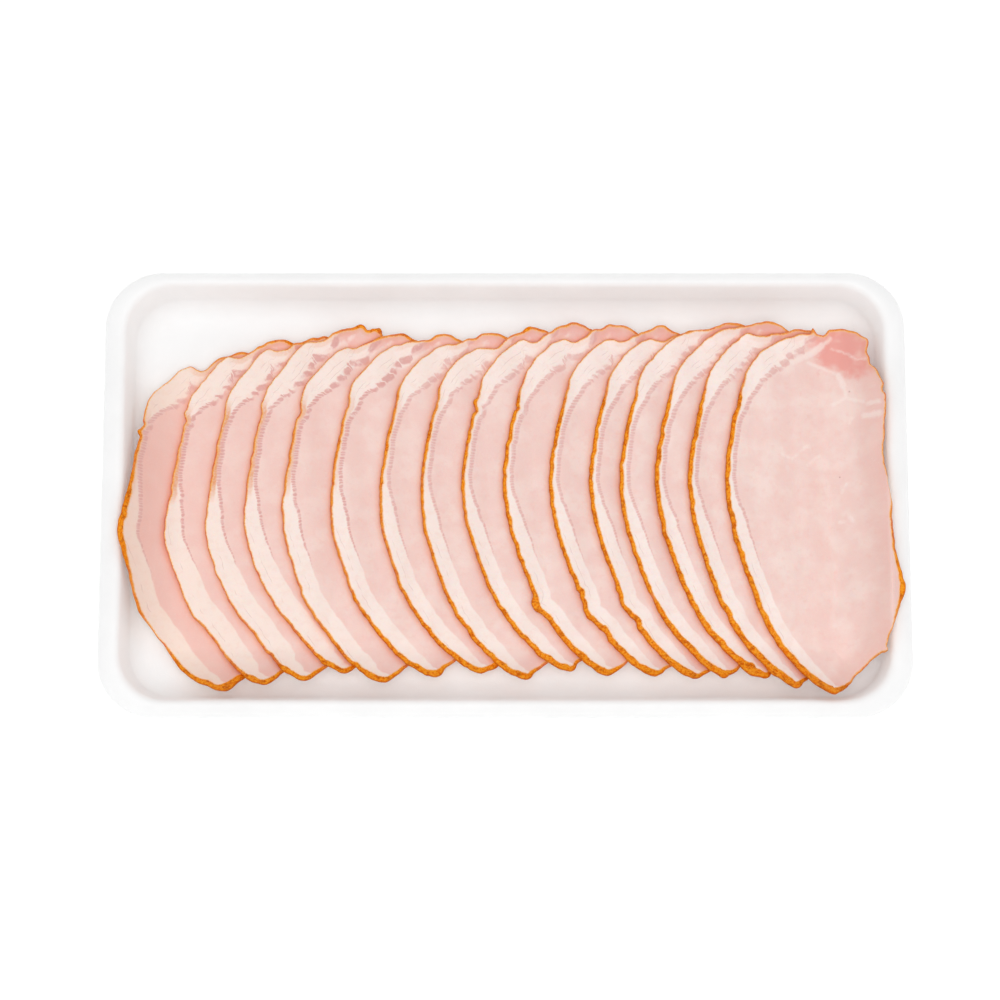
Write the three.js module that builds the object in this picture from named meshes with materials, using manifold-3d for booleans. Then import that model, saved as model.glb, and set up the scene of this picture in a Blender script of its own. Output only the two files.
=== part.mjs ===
// A foam meat tray with sixteen shingled slices of smoked loin lying in it.
// Millimetres, +Z up. The origin is the centre of the tray's flat underside,
// +X runs along the tray's long side and +Y towards its rear side.

import * as THREE from 'three';
import { mergeVertices } from 'three/addons/utils/BufferGeometryUtils.js';
import Module from 'manifold-3d';

const wasm = await Module();
wasm.setup();

// ---------- driving dimensions ----------

// The tray, over its rolled lip. It is one foam sheet, as thick at the floor as at the walls.
const TRAY_LENGTH = 270;
const TRAY_WIDTH = 152;
const TRAY_HEIGHT = 20;
const FOAM = 3.5;
const END_RIM = 7;            // width of the rim at the two short ends
const SIDE_RIM = 5;           // width of the rim along the two long sides
const LIP_RADIUS = 19;        // corner radius of the lip in plan
const CORNER_TIGHTENING = 0.45; // how much of an inset comes off the corner radius
const COVE_RADIUS = 7.5;      // the inside curve from wall to floor
const COVE_CENTRE = { inset: 17.1, z: FOAM + COVE_RADIUS };
const CORNER_STEPS = 8;
const CURVE_STEPS = 4;

// The slices. Each one is a soft sheet that lies on the slices before it.
const THICKNESS = 1.8;
const GAP = 0.3;              // clearance between pieces that touch
const OUTLINE_STEPS = 56;
const CLIMB = 20;             // how far out from the rim a slice starts to climb the wall
const CREST = TRAY_HEIGHT + 1.1; // height of a slice's underside where it lies over the rim
const CREST_BLEND = 2;
const SUPPORT_REACH = 6.5;    // a slice is held up this far past the edge of the one below
const SUPPORT_FADE = 10;      // and comes down to the next support over this distance
const LAYERS_FELT = 6;        // no more slices than this lie under one point

// The loin's section, going round from the point that is furthest left. x is from the
// slice's left edge and y is from the tray's centre line. The rind side and the lean side
// are given for the first cut and for the last.
const RIND_SIDE = {
  first: [[2.2, -1], [4.2, 12.5], [6.3, 24], [7.9, 33], [12.2, 38.8]],
  last: [[0, 4.5], [2, 21], [5, 33], [7.5, 41.5], [13, 49.5]],
};
const LEAN_SIDE = {
  first: [
    [52.5, 27], [53, 15], [53, 5], [54, -5], [55.5, -22], [57, -34], [54.5, -43.5], [51, -52],
    [46, -57.5], [41, -62.5], [35.5, -67], [28, -64.5], [21.5, -60], [14, -50],
    [6.2, -39.5], [3.3, -28.5], [0, -14.5],
  ],
  last: [
    [54, 34], [53.5, 20], [53, 10], [54.5, 0], [56, -20], [58.5, -33], [55.5, -43],
    [51.5, -53], [46, -58], [40.5, -64], [35, -68], [29, -64.5], [23, -58], [15.5, -48.5],
    [10.5, -38.5], [6, -26], [2, -12],
  ],
};
const TIP = 68;               // how far forward the tip of the last cut reaches

// Some slices are narrower between the tip and the left edge. These are the shares of that
// narrowing for the last six points of the lean side.
const NARROWING = [0.5, 0.9, 1, 0.8, 0.3, 0];

// Along the top there is the tip of the fat, then a notch, and then the bulge of a muscle.
// Their heights differ from slice to slice. The last three points are below the bulge.
const FAT_TOP_X = 20.5;
const NOTCH_X = 24.8;
const BULGE = [[31.5, -2], [39.5, 0], [47.5, -3.5], [50.3, -14]];

// Where each slice lies: its left edge, how far along the loin it was cut, its tip, how high
// the top of its fat, its notch and its muscle's bulge are, and how much narrower it is.
const SLICES = [
  { left: -128.5, cut: 0, tip: 68, fat: 46.3, notch: 45.2, bulge: 51.2 },
  { left: -115, cut: 0.15, tip: 66, fat: 49.2, notch: 48.7, bulge: 55, narrower: 3 },
  { left: -101.5, cut: 0.3, tip: 64.2, fat: 51.3, notch: 51, bulge: 56, narrower: 2.6 },
  { left: -88.5, cut: 0.42, tip: 61.2, fat: 53.3, notch: 53.6, bulge: 59.5, narrower: 2 },
  { left: -75.5, cut: 0.48, tip: 64.6, fat: 51.4, notch: 52, bulge: 57, narrower: 0.6 },
  { left: -59.5, cut: 0.58, tip: 61.8, fat: 51.9, notch: 53.3, bulge: 56.7 },
  { left: -43, cut: 0.66, tip: 60.8, fat: 52.1, notch: 52.9, bulge: 57.4 },
  { left: -29, cut: 0.78, tip: 62.8, fat: 51.9, notch: 51.5, bulge: 58.5 },
  { left: -15, cut: 0.92, tip: 59.5, fat: 54.5, notch: 53.7, bulge: 60 },
  { left: -1, cut: 1, tip: 61.5, fat: 54.5, notch: 53.8, bulge: 59.7 },
  { left: 14.5, cut: 0.96, tip: 61.7, fat: 54.5, notch: 53.8, bulge: 59 },
  { left: 28, cut: 1, tip: 62.9, fat: 54.5, notch: 54, bulge: 58.3 },
  { left: 38, cut: 0.97, tip: 62, fat: 55.4, notch: 57, bulge: 60.2 },
  { left: 50, cut: 1, tip: 62.2, fat: 55.7, notch: 57.7, bulge: 60.6 },
  { left: 61, cut: 0.97, tip: 65.8, fat: 55.8, notch: 55.8, bulge: 58.2 },
  { left: 73.5, cut: 1, tip: 68.9, fat: 54, notch: 55.5, bulge: 58.2 },
];

// Lines of the grid that every slice is made on: fine over the walls, coarse over the floor.
const GRID_X = gridLines(TRAY_LENGTH / 2 + 1, 4, 5, 8);
const GRID_Y = gridLines(TRAY_WIDTH / 2 + 1, 4, 6, 13);

// ---------- colours ----------

const FOAM_WHITE = 0xf4f4f0;
const MEAT_PINK = 0xefc3b6;

// ---------- helpers ----------

// Positions from -half to half: fineCount steps of fine at both ends, and even ones between.
function gridLines(half, fine, fineCount, coarse) {
  const inner = half - fine * fineCount;
  const coarseCount = Math.round((2 * inner) / coarse);
  const lines = [];
  for (let i = 0; i < fineCount; i += 1) lines.push(-half + i * fine);
  for (let i = 0; i <= coarseCount; i += 1) lines.push(-inner + (2 * inner * i) / coarseCount);
  for (let i = 1; i <= fineCount; i += 1) lines.push(inner + i * fine);
  return lines;
}

function geometryOf(positions, indices) {
  const geometry = new THREE.BufferGeometry();
  geometry.setAttribute('position', new THREE.Float32BufferAttribute(positions, 3));
  geometry.setIndex(indices);
  return geometry;
}

// A closed geometry as a manifold solid, for a boolean cut.
function solidOf(geometry) {
  const bare = geometry.clone();
  bare.deleteAttribute('normal');
  bare.deleteAttribute('uv');
  const merged = mergeVertices(bare);
  return new wasm.Manifold(new wasm.Mesh({
    numProp: 3,
    vertProperties: new Float32Array(merged.attributes.position.array),
    triVerts: new Uint32Array(merged.index.array),
  }));
}

function geometryOfSolid(solid) {
  const mesh = solid.getMesh();
  return geometryOf(Array.from(mesh.vertProperties), Array.from(mesh.triVerts));
}

function namedMesh(name, geometry, color, roughness) {
  const material = new THREE.MeshStandardMaterial({ color, roughness, metalness: 0 });
  geometry.computeVertexNormals();
  const mesh = new THREE.Mesh(geometry, material);
  mesh.name = name;
  return mesh;
}

// ---------- the tray ----------

// The wall's section, from the edge of the flat underside, up the outside, round the rolled
// lip, over the crest and down the inside to the edge of the floor.
// x is the inset from the tray's end and y is the height.
function wallSection() {
  const { inset, z } = COVE_CENTRE;
  const outer = COVE_RADIUS + FOAM;
  const path = new THREE.Path();
  path.moveTo(inset, z - outer);
  path.absarc(inset, z, outer, -Math.PI / 2, -Math.PI, true);
  path.quadraticCurveTo(5.3, 15.2, 3.6, 15.4);
  path.quadraticCurveTo(2.4, 15.4, 1.4, 14.2);
  path.quadraticCurveTo(0, 13.6, 0, 15.4);
  path.quadraticCurveTo(0.3, 18, 2.6, 19.2);
  path.quadraticCurveTo(4.2, TRAY_HEIGHT, 5.2, TRAY_HEIGHT);
  path.quadraticCurveTo(END_RIM, TRAY_HEIGHT, END_RIM + 0.6, 18.4);
  path.lineTo(inset - COVE_RADIUS, z);
  path.absarc(inset, z, COVE_RADIUS, Math.PI, 1.5 * Math.PI, false);
  const points = [];
  for (const point of path.getPoints(CURVE_STEPS)) {
    const last = points[points.length - 1];
    if (!last || last.distanceTo(point) > 0.01) points.push(point);
  }
  return points;
}

// Along the long sides the rim is narrower than at the ends.
function sideInset(inset) {
  const rim = Math.min(inset, END_RIM);
  return rim * (SIDE_RIM / END_RIM) + (inset - rim);
}

// One round of the tray in plan, anticlockwise: four rounded corners joined by straight sides.
function trayRing(inset, height) {
  const radius = LIP_RADIUS - CORNER_TIGHTENING * inset;
  const centreX = TRAY_LENGTH / 2 - inset - radius;
  const centreY = TRAY_WIDTH / 2 - sideInset(inset) - radius;
  const corners = [[1, 1], [-1, 1], [-1, -1], [1, -1]];
  const ring = [];
  corners.forEach(([sideX, sideY], quarter) => {
    for (let step = 0; step <= CORNER_STEPS; step += 1) {
      const angle = (Math.PI / 2) * (quarter + step / CORNER_STEPS);
      const x = sideX * centreX + radius * Math.cos(angle);
      const y = sideY * centreY + radius * Math.sin(angle);
      ring.push(new THREE.Vector3(x, y, height));
    }
  });
  return ring;
}

// A closed body through a list of rings, capped at the first and at the last.
function loft(rings) {
  const count = rings[0].length;
  const positions = rings.flat().flatMap((point) => point.toArray());
  const indices = [];
  for (let r = 0; r + 1 < rings.length; r += 1) {
    for (let i = 0; i < count; i += 1) {
      const a = r * count + i;
      const b = r * count + ((i + 1) % count);
      indices.push(a, b, b + count, a, b + count, a + count);
    }
  }
  const cap = THREE.ShapeUtils.triangulateShape(rings[0], []);
  const top = (rings.length - 1) * count;
  for (const [a, b, c] of cap) {
    indices.push(a, c, b);
    indices.push(top + a, top + b, top + c);
  }
  return geometryOf(positions, indices);
}

function makeTray() {
  const rings = wallSection().map((point) => trayRing(point.x, point.y));
  return namedMesh('tray', loft(rings), FOAM_WHITE, 0.7);
}

// ---------- how the slices lie ----------

// How far a point is inside the rim's inner edge, in plan. It is negative out on the rim.
function insideRim(x, y) {
  const radius = LIP_RADIUS - CORNER_TIGHTENING * END_RIM;
  const qx = Math.abs(x) - (TRAY_LENGTH / 2 - END_RIM - radius);
  const qy = Math.abs(y) - (TRAY_WIDTH / 2 - SIDE_RIM - radius);
  const beyond = Math.hypot(Math.max(qx, 0), Math.max(qy, 0));
  return radius - beyond - Math.min(Math.max(qx, qy), 0);
}

// The surface that a slice would rest on with nothing under it. It is flat over the floor,
// bridges the cove, climbs the wall and lies down over the crest of the rim.
function restHeight(x, y) {
  const floor = FOAM + GAP;
  const climbed = Math.max(1 - insideRim(x, y) / CLIMB, 0);
  const wall = floor + (TRAY_HEIGHT - floor) * climbed * climbed;
  const mix = THREE.MathUtils.clamp(0.5 + (CREST - wall) / (2 * CREST_BLEND), 0, 1);
  return THREE.MathUtils.lerp(CREST, wall, mix) - CREST_BLEND * mix * (1 - mix);
}

// A sloping sheet is thicker when it is measured upright.
function uprightStretch(x, y) {
  const step = 0.5;
  const slopeX = (restHeight(x + step, y) - restHeight(x - step, y)) / (2 * step);
  const slopeY = (restHeight(x, y + step) - restHeight(x, y - step)) / (2 * step);
  return Math.hypot(1, slopeX, slopeY);
}

// A side of the section at a share of the way from the first cut to the last.
function sideAt({ first, last }, cut) {
  return last.map(([x, y], i) => [
    THREE.MathUtils.lerp(first[i][0], x, cut),
    THREE.MathUtils.lerp(first[i][1], y, cut),
  ]);
}

// The outline of a slice, as points in the tray's plan.
function sliceOutline({ left, cut, tip, fat, notch, bulge, narrower = 0 }) {
  const section = [
    ...sideAt(RIND_SIDE, cut),
    [FAT_TOP_X, fat],
    [NOTCH_X, notch],
    ...BULGE.map(([x, below]) => [x, bulge + below]),
    ...sideAt(LEAN_SIDE, cut),
  ];
  NARROWING.forEach((share, i) => {
    section[section.length - NARROWING.length + i][0] += narrower * share;
  });
  const corners = section.map(([x, y]) => (
    new THREE.Vector3(left + x, y < 0 ? (y * tip) / TIP : y, 0)
  ));
  const curve = new THREE.CatmullRomCurve3(corners, true, 'centripetal');
  const points = curve.getSpacedPoints(OUTLINE_STEPS).slice(0, OUTLINE_STEPS);
  return points.map((point) => new THREE.Vector2(point.x, point.y));
}

// How far a point in plan is outside an outline. It is zero on the slice itself.
function distanceOutside(outline, x, y) {
  let inside = false;
  let nearest = Infinity;
  for (let i = 0; i < outline.length; i += 1) {
    const a = outline[i];
    const b = outline[(i + 1) % outline.length];
    const edgeX = b.x - a.x;
    const edgeY = b.y - a.y;
    const along = ((x - a.x) * edgeX + (y - a.y) * edgeY) / (edgeX * edgeX + edgeY * edgeY);
    const t = THREE.MathUtils.clamp(along, 0, 1);
    nearest = Math.min(nearest, Math.hypot(x - a.x - t * edgeX, y - a.y - t * edgeY));
    const crosses = a.y > y !== b.y > y;
    if (crosses && x < a.x + (edgeX * (y - a.y)) / edgeY) inside = !inside;
  }
  return inside ? 0 : nearest;
}

// How many slices lie under one slice at a point, coming down smoothly past their edges.
function layersUnder(outlines, index, x, y) {
  let layers = 0;
  for (let i = Math.max(0, index - LAYERS_FELT); i < index; i += 1) {
    const away = distanceOutside(outlines[i], x, y) - SUPPORT_REACH;
    layers += 1 - THREE.MathUtils.smoothstep(away, 0, SUPPORT_FADE);
  }
  return layers;
}

// ---------- the slices ----------

function linesAround(lines, low, high) {
  const first = lines.findLastIndex((line) => line < low);
  const last = lines.findIndex((line) => line > high);
  return lines.slice(first, last + 1);
}

// A sheet over a patch of the grid, before it is cut to the slice's outline.
function sheetOver(linesX, linesY, undersideAt) {
  const countX = linesX.length;
  const countY = linesY.length;
  const under = countX * countY;
  const upper = [];
  const lower = [];
  for (const y of linesY) {
    for (const x of linesX) {
      const stretch = uprightStretch(x, y);
      const z = undersideAt(x, y, stretch);
      upper.push(x, y, z + THICKNESS * stretch);
      lower.push(x, y, z);
    }
  }
  const indices = [];
  for (let j = 0; j + 1 < countY; j += 1) {
    for (let i = 0; i + 1 < countX; i += 1) {
      const a = j * countX + i;
      const b = a + 1;
      const c = b + countX;
      const d = a + countX;
      indices.push(a, b, c, a, c, d);
      indices.push(under + a, under + c, under + b, under + a, under + d, under + c);
    }
  }
  const wall = (a, b) => indices.push(a, under + a, under + b, a, under + b, b);
  for (let i = 0; i + 1 < countX; i += 1) {
    wall(i, i + 1);
    wall((countY - 1) * countX + i + 1, (countY - 1) * countX + i);
  }
  for (let j = 0; j + 1 < countY; j += 1) {
    wall((j + 1) * countX, j * countX);
    wall(j * countX + countX - 1, (j + 1) * countX + countX - 1);
  }
  return geometryOf([...upper, ...lower], indices);
}

// The upright prism over an outline, which cuts a sheet to the slice's shape.
function cutterOf(outline) {
  const depth = 3 * TRAY_HEIGHT;
  const shape = new THREE.Shape(outline);
  return new THREE.ExtrudeGeometry(shape, { depth, bevelEnabled: false, steps: 1 });
}

function makeSlice(outlines, index) {
  const outline = outlines[index];
  const xs = outline.map((point) => point.x);
  const ys = outline.map((point) => point.y);
  const linesX = linesAround(GRID_X, Math.min(...xs), Math.max(...xs));
  const linesY = linesAround(GRID_Y, Math.min(...ys), Math.max(...ys));
  const underside = (x, y, stretch) => {
    const layers = layersUnder(outlines, index, x, y);
    return restHeight(x, y) + layers * (THICKNESS + GAP) * stretch;
  };
  const sheet = solidOf(sheetOver(linesX, linesY, underside));
  const slice = sheet.intersect(solidOf(cutterOf(outline)));
  const name = `slice_${String(index + 1).padStart(2, '0')}`;
  return namedMesh(name, geometryOfSolid(slice), MEAT_PINK, 0.4);
}

// ---------- the whole ----------

const object = new THREE.Group();
object.add(makeTray());

const outlines = SLICES.map(sliceOutline);
const pile = new THREE.Group();
outlines.forEach((_, index) => pile.add(makeSlice(outlines, index)));
object.add(pile);

export default object;
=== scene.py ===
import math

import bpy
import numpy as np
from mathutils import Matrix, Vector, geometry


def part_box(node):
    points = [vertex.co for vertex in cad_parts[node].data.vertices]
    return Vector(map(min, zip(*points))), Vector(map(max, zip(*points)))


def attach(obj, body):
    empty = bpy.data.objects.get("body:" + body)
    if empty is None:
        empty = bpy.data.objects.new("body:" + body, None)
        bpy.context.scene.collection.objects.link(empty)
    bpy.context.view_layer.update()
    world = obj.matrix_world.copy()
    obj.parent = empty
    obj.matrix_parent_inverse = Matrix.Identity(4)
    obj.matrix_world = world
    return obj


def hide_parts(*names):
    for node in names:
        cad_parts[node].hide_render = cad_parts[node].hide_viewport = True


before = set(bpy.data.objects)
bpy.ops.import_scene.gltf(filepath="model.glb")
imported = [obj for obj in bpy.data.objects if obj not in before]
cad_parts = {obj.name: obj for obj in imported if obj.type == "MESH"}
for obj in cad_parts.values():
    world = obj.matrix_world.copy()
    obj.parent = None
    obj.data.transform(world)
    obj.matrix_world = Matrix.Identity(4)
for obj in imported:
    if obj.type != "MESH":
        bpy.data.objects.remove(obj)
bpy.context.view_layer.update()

# A foam meat tray with sixteen shingled slices of smoked loin, as seen from the front.
# Every slice keeps the plan outline of its CAD solid, apart from small nicks and knobs along
# its cut edge, and is draped by the same rule.
# Shapes are worked out in millimetres and written to the meshes in metres.

MM = 0.001
TRAY_LOW, TRAY_HIGH = (np.array(corner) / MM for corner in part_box("tray"))
TRAY_LENGTH, TRAY_WIDTH, TRAY_HEIGHT = TRAY_HIGH - TRAY_LOW

# The tray's section, as in the CAD source.
FOAM = 3.5
END_RIM = 7.0
SIDE_RIM = 5.0
LIP_RADIUS = 19.0
CORNER_TIGHTENING = 0.45
COVE_RADIUS = 7.5
COVE_INSET = 17.1
COVE_HEIGHT = FOAM + COVE_RADIUS

# How the slices lie, as in the CAD source.
THICKNESS = 1.8
GAP = 0.3
CLIMB = 20.0
CREST = TRAY_HEIGHT + 1.1
CREST_BLEND = 2.0
SUPPORT_REACH = 6.5
SUPPORT_FADE = 10.0
LAYERS_FELT = 6

# The loin's section, as in the CAD source, going round from the point that is furthest left:
# up the rind, along the top, down the lean side, round the tip and back.
RIND_SIDE = (
    [(2.2, -1), (4.2, 12.5), (6.3, 24), (7.9, 33), (12.2, 38.8)],
    [(0, 4.5), (2, 21), (5, 33), (7.5, 41.5), (13, 49.5)],
)
LEAN_SIDE = (
    [(52.5, 27), (53, 15), (53, 5), (54, -5), (55.5, -22), (57, -34), (54.5, -43.5),
     (51, -52), (46, -57.5), (41, -62.5), (35.5, -67), (28, -64.5), (21.5, -60), (14, -50),
     (6.2, -39.5), (3.3, -28.5), (0, -14.5)],
    [(54, 34), (53.5, 20), (53, 10), (54.5, 0), (56, -20), (58.5, -33), (55.5, -43),
     (51.5, -53), (46, -58), (40.5, -64), (35, -68), (29, -64.5), (23, -58), (15.5, -48.5),
     (10.5, -38.5), (6, -26), (2, -12)],
)
FAT_TOP_X = 20.5
NOTCH_X = 24.8
BULGE = [(31.5, -2), (39.5, 0), (47.5, -3.5), (50.3, -14)]
# How much narrower some slices are, by their number, and what share of it each of the last
# points has, on the way back up from the tip.
NARROWER = {2: 3, 3: 2.6, 4: 2, 5: 0.6}
NARROWING = np.array([0.5, 0.9, 1, 0.8, 0.3, 0])
LANDMARKS = 28
TIP_LANDMARK = 21
TIP = 68.0

# Where each slice lies (left edge, share of the way along the loin, tip, and how high the
# top of its fat, its notch and its muscle's bulge are), as in the CAD source, and its looks:
# how thick its rind has grown, how pink its lean is, how deep the smoke has coloured its
# neck, and how much wider its fat is below the neck.
SLICES = [
    dict(left=-128.5, cut=0, tip=68, top=(46.3, 45.2, 51.2), rind=0.4, pink=1.0, smoke=0.3,
         fat=0.6),
    dict(left=-115, cut=0.15, tip=66, top=(49.2, 48.7, 55), rind=0, pink=0.62, smoke=0.9,
         fat=1.0),
    dict(left=-101.5, cut=0.3, tip=64.2, top=(51.3, 51, 56), rind=0.05, pink=0.5, smoke=1.0,
         fat=0.9),
    dict(left=-88.5, cut=0.42, tip=61.2, top=(53.3, 53.6, 59.5), rind=0.12, pink=0.4,
         smoke=0.85, fat=0.7),
    dict(left=-75.5, cut=0.48, tip=64.6, top=(51.4, 52, 57), rind=0.25, pink=0.35, smoke=0.7,
         fat=0.3),
    dict(left=-59.5, cut=0.58, tip=61.8, top=(51.9, 53.3, 56.7), rind=0.4, pink=0.25,
         smoke=0.35, fat=0.2),
    dict(left=-43, cut=0.66, tip=60.8, top=(52.1, 52.9, 57.4), rind=0.5, pink=0.25, smoke=0.2,
         fat=0.1),
    dict(left=-29, cut=0.78, tip=62.8, top=(51.9, 51.5, 58.5), rind=0.55, pink=0.2,
         smoke=0.15, fat=0.1),
    dict(left=-15, cut=0.92, tip=59.5, top=(54.5, 53.7, 60), rind=0.6, pink=0.15, smoke=0.1,
         fat=0),
    dict(left=-1, cut=1, tip=61.5, top=(54.5, 53.8, 59.7), rind=0.8, pink=0.1, smoke=0.1,
         fat=0),
    dict(left=14.5, cut=0.96, tip=61.7, top=(54.5, 53.8, 59), rind=0.8, pink=0.05, smoke=0.05,
         fat=0),
    dict(left=28, cut=1, tip=62.9, top=(54.5, 54, 58.3), rind=0.85, pink=0.05, smoke=0.05,
         fat=0),
    dict(left=38, cut=0.97, tip=62, top=(55.4, 57, 60.2), rind=0.85, pink=0, smoke=0.05,
         fat=0),
    dict(left=50, cut=1, tip=62.2, top=(55.7, 57.7, 60.6), rind=1.0, pink=0, smoke=0.05,
         fat=0),
    dict(left=61, cut=0.97, tip=65.8, top=(55.8, 55.8, 58.2), rind=1.0, pink=0, smoke=0.05,
         fat=0),
    dict(left=73.5, cut=1, tip=68.9, top=(54, 55.5, 58.2), rind=1.0, pink=0, smoke=0.05,
         fat=0),
]
# How strong the streak's spots are: more so on the slices that crowd together at the left.
CROWDED = range(2, 7)
SPOTS_CROWDED = 0.85
SPOTS_ELSEWHERE = 0.55
for number, look in enumerate(SLICES, start=1):
    look["narrower"] = NARROWER.get(number, 0)
    look["spots"] = SPOTS_CROWDED if number in CROWDED else SPOTS_ELSEWHERE
LAST_BULGE = SLICES[-1]["top"][2]

# Nicks, knobs and flaps of single slices: landmark, how far it stands out, how long it is
# along the edge and how much thicker the rind is there.
NICKS = {
    1: [(1.7, 0.9, 1.0, 0.5), (2.0, -0.5, 0.8, 0), (27.2, 0.2, 13, 1.1), (24.2, 0, 7, -0.7),
        (20.3, 0.3, 7, 1.2)],
    2: [(2.4, 0.5, 1.0, 0), (2.1, -0.5, 1.0, 0), (25.0, 0.4, 4, 0), (21.8, 0.4, 2.2, 0.7)],
    3: [(26.0, 0.5, 3, 0), (22.3, 0.6, 2.0, 0.8), (23.2, -0.4, 1.2, 0)],
    4: [(2.3, 0.5, 1.4, 0), (26.0, 0.6, 3, 0), (22.2, 0.4, 2.0, 0.6), (8.0, 0.5, 1.6, 0.3),
        (8.35, -1.0, 1.0, 0), (8.7, 1.0, 1.1, 0.2)],
    5: [(27.6, 0.5, 2.5, 0), (2.0, -0.5, 1.5, 0), (22.6, -0.3, 2.0, 0), (21.8, 0.5, 2, 0.4)],
    6: [(20.6, 1.0, 2.4, 0.9), (2.2, -0.4, 1.5, 0)],
    7: [(20.2, 1.0, 2.2, 0.8), (21.8, -0.4, 0.8, 0), (2.6, 0.3, 2.5, 0.4)],
    8: [(20.7, 0.6, 1.6, 0.4), (2.6, 0.4, 1.5, 0.3), (7.6, 0.6, 1.5, 0.6)],
    9: [(2.0, 0.9, 1.3, 0.5), (1.72, -0.6, 0.8, 0), (22.4, 0.5, 2, 0.2), (20.6, 0.9, 1.8, 0)],
    10: [(1.75, -0.7, 0.7, 0), (2.1, 0.3, 1.5, 0), (24.7, 2.1, 2.6, 2.2), (24.0, -0.3, 2, 0)],
    11: [(25.1, -0.7, 1.0, 0.3), (24.45, 1.2, 3.0, 0), (23.6, -0.6, 1.8, 0.3)],
    12: [(25.3, 0.4, 1.0, 0.8), (24.8, 0.9, 3.0, -0.2), (24.2, -0.7, 1.6, 0.2)],
    13: [(25.0, -0.3, 2.0, -0.6), (21.1, 0.5, 1.5, 0.6)],
    14: [(21.7, 0.9, 3.0, 1.2), (20.7, 0.8, 1.6, 0.8)],
    15: [(22.3, 0.5, 2.0, 0.8), (20.9, 0.8, 2.2, 0.8)],
    16: [(21.2, 0.4, 2.5, 0.6), (18.0, 1.3, 0.9, -0.2), (7.0, 1.9, 0.8, 0.3),
         (7.4, -0.5, 1.2, 0), (9.3, 0.4, 2.0, 0), (11.0, -0.7, 1.3, 0), (16.1, 0.5, 3, 0.4)],
}

# Tissues of the loin, as (place round the slice, millimetres). The place is 0 at the tip,
# 0.25 at the left, 0.46 at the notch in the top, and goes on down the lean side to the tip.
RIND_THIN = [(0, 1.7), (0.036, 1.3), (0.071, 0.85), (0.107, 0.7), (0.143, 0.5), (0.18, 0.35),
             (0.214, 0.35), (0.25, 0.5), (0.286, 0.65), (0.32, 0.5), (0.357, 0.32), (0.4, 0.3),
             (0.47, 0.35), (0.5, 0.8), (0.55, 1.1), (0.6, 0.7), (0.8, 0.6), (0.95, 0.9),
             (1, 1.7)]
RIND_THICK = [(0, 2.5), (0.036, 2.5), (0.071, 2.1), (0.107, 1.8), (0.143, 1.6), (0.18, 1.45),
              (0.25, 1.45), (0.286, 1.5), (0.31, 1.35), (0.335, 0.8), (0.36, 0.42),
              (0.43, 0.36), (0.464, 0.45), (0.5, 0.6), (0.55, 0.7), (0.6, 0.5), (0.68, 0.45),
              (0.733, 0.38), (0.74, 0), (0.752, 0), (0.765, 0.8), (0.8, 1.1), (0.821, 1.8),
              (0.845, 0.9), (0.87, 0.35), (0.96, 0.6), (0.985, 1.4), (1, 2.5)]
# How wide the fat is below the streak, and past the streak's end at the top. Between them
# its edge is the streak, which is given as points in the plan of the last slice.
FAT_BELOW = [(0, 3.4), (0.04, 5.5), (0.07, 6), (0.21, 5.8), (0.225, 4.9)]
STREAK_LINE = [(4, -1), (3, 5), (3.5, 11.5), (4, 17), (5, 22.5), (7, 28.5), (11.5, 36.5),
               (16, 41.5), (20, 44.5), (23, 48), (26.5, 50), (30, 54)]
FAT_END = [(0.5, 0.9), (0.51, -2), (1, -2)]
FAT_EXTRA = [(0.02, 0), (0.07, 1.5), (0.13, 2.2), (0.18, 1.8), (0.23, 0)]
STREAK_HALF = [(0.14, -0.6), (0.18, 0.2), (0.22, 0.55), (0.28, 0.85), (0.34, 0.9), (0.37, 1.1),
               (0.4, 1.5), (0.46, 1.6), (0.5, 1.3), (0.51, -0.6)]
RUNG_SPACING = [(0, 0.9), (0.22, 0.9), (0.3, 1.05), (0.345, 1.3), (0.362, 2.0), (0.38, 3.4),
                (0.42, 4.4), (0.5, 5.0)]
# Where the smoke has coloured the neck and the top, and where the fat's neck is.
SMOKE = [(0.242, 0), (0.26, 1), (0.325, 1), (0.35, 0)]
TOP_SMOKE = [(0.42, 0), (0.47, 0.45), (0.6, 0.45), (0.65, 0)]
NECK = [(0.13, 0), (0.22, 1), (0.31, 1), (0.36, 0)]
NECK_RISE = 0.03
NECK_THINNER = 0.9
# Hairlines in the fat, by how far from the rind they run.
HAIRLINES = [
    [(0, -3), (0.05, 1.2), (0.09, 2.6), (0.14, 3.4), (0.19, 2.9), (0.225, 1.2), (0.24, -3)],
    [(0.3, -3), (0.335, 2.0), (0.37, 3.4), (0.42, 3.8), (0.45, 1.5), (0.47, -3)],
    [(0.34, -3), (0.36, 4.4), (0.4, 5.6), (0.43, 5.4), (0.455, 3.0), (0.47, -3)],
]
# The darker muscle's outline in the plan of the last slice.
MUSCLE = [(29.8, 56), (33, 57.5), (40, 59), (47, 57.5), (50.5, 51), (51, 45), (49.5, 42),
          (45.4, 40.8), (41.7, 41.9), (38.3, 43.1), (35, 44.2), (32.4, 47.6), (33.1, 51.1),
          (30.9, 53.4)]
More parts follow.
